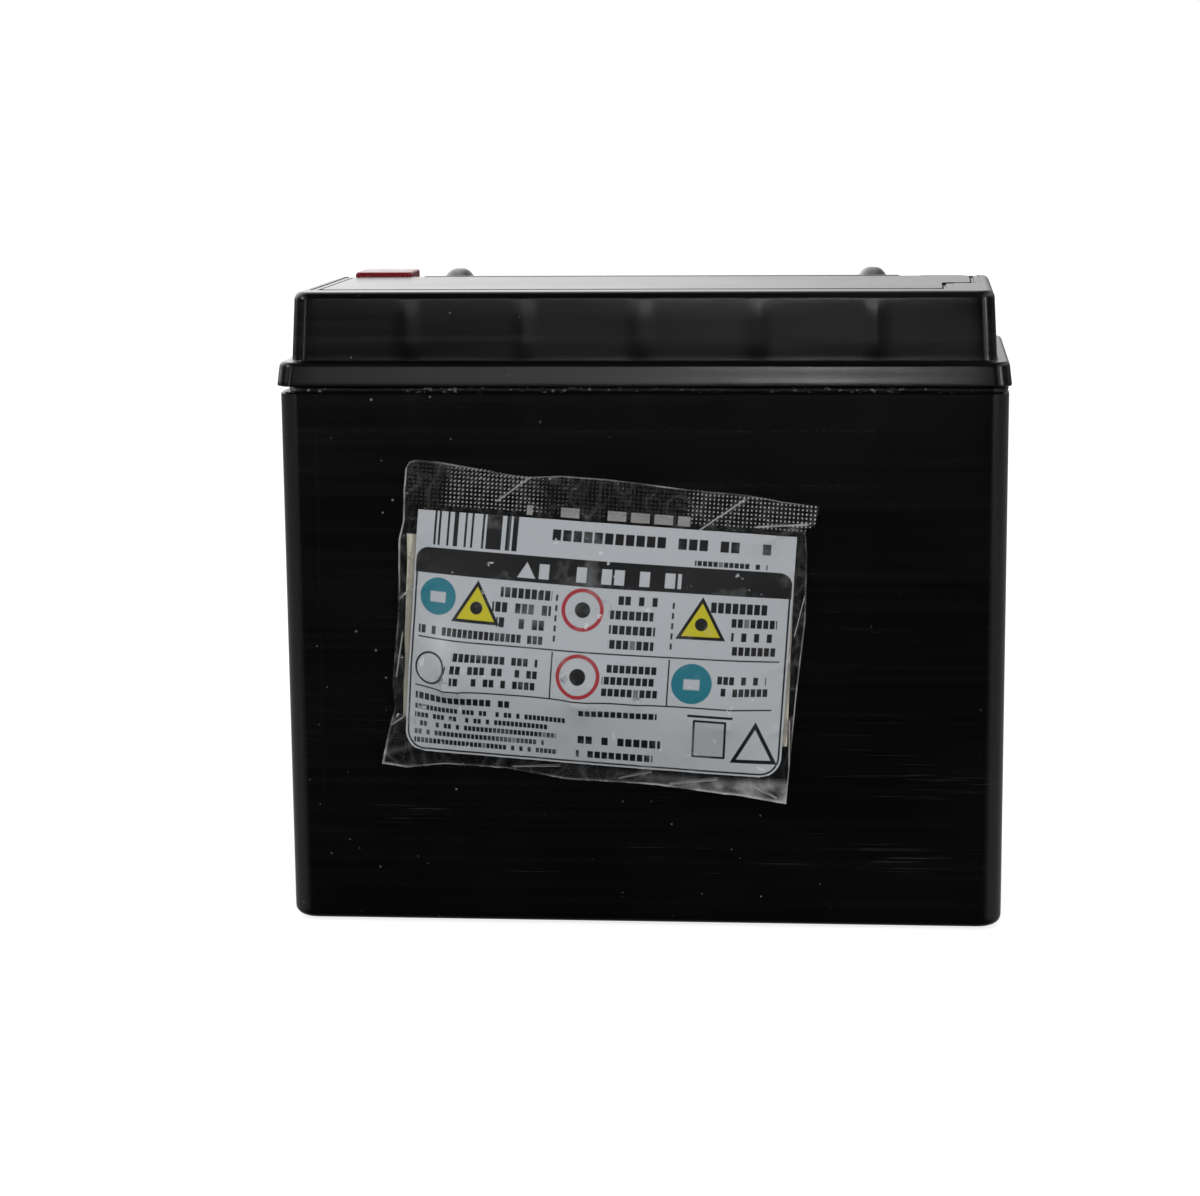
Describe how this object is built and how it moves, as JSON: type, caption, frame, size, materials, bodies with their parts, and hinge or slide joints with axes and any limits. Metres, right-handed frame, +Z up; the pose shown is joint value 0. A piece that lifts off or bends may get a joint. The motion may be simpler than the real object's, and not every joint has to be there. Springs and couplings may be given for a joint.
{
  "type": "motorcycle battery",
  "caption": "Sealed lead-acid motorcycle battery: black box with a rimmed lid, corner terminals, a red lift-off terminal cover and a bag of fasteners on its face.",
  "frame": {"origin": "middle of the container's flat bottom", "axes": "+X along the battery's length, from the positive end to the negative end; +Y towards the long face with the terminals, -Y towards the face with the bag; +Z up"},
  "size_m": [0.175, 0.0997, 0.1544],
  "materials": {
    "black_plastic": "soft semi-gloss moulded polypropylene, black, fine scratches",
    "red_plastic": "moulded red plastic, satin",
    "valve_rubber": "matt black rubber",
    "lead": "cast lead, dull grey with slight tarnish",
    "red_epoxy": "poured red epoxy, glossy",
    "black_epoxy": "poured black epoxy, glossy",
    "positive_plate": "pasted lead grid, dark brown oxide",
    "negative_plate": "pasted lead grid, grey sponge lead",
    "glass_mat": "absorbent glass mat, white felt",
    "clear_film": "clear wrinkled polyethylene film with a plain printed panel",
    "printed_panel": null,
    "leaflet_paper": "cream paper, slightly creased",
    "adhesive": "soft translucent glue pad",
    "plated_steel": "zinc-plated steel"
  },
  "bodies": {
    "battery": {"container": "black_plastic", "lid": "black_plastic", "vent_cover_plate": "black_plastic", "valve_cap_1": "valve_rubber", "valve_cap_2": "valve_rubber", "valve_cap_3": "valve_rubber", "valve_cap_4": "valve_rubber", "valve_cap_5": "valve_rubber", "valve_cap_6": "valve_rubber", "positive_terminal": "lead", "negative_terminal": "lead", "positive_terminal_seal": "red_epoxy", "negative_terminal_seal": "black_epoxy", "positive_plates_1": "positive_plate", "positive_plates_2": "positive_plate", "positive_plates_3": "positive_plate", "positive_plates_4": "positive_plate", "positive_plates_5": "positive_plate", "positive_plates_6": "positive_plate", "negative_plates_1": "negative_plate", "negative_plates_2": "negative_plate", "negative_plates_3": "negative_plate", "negative_plates_4": "negative_plate", "negative_plates_5": "negative_plate", "negative_plates_6": "negative_plate", "separator_1": "glass_mat", "separator_2": "glass_mat", "separator_3": "glass_mat", "separator_4": "glass_mat", "separator_5": "glass_mat", "separator_6": "glass_mat", "intercell_link_1": "lead", "intercell_link_2": "lead", "intercell_link_3": "lead", "intercell_link_4": "lead", "intercell_link_5": "lead"},
    "positive_cover": {"positive_terminal_cover": "red_plastic"},
    "bag": {"fastener_bag": "clear_film", "instruction_leaflet": "leaflet_paper", "bag_adhesive": "adhesive", "terminal_bolt_1": "plated_steel", "terminal_bolt_2": "plated_steel", "square_nut_1": "plated_steel", "square_nut_2": "plated_steel"}
  },
  "joints": [
    {"name": "cover_lift", "type": "slide", "parent": "battery", "child": "positive_cover", "axis": [0, 0, 1], "range_m": [0, 0.02]},
    {"name": "bag_peel", "type": "slide", "parent": "battery", "child": "bag", "axis": [0, -1, 0], "range_m": [0, 0.03]}
  ]
}
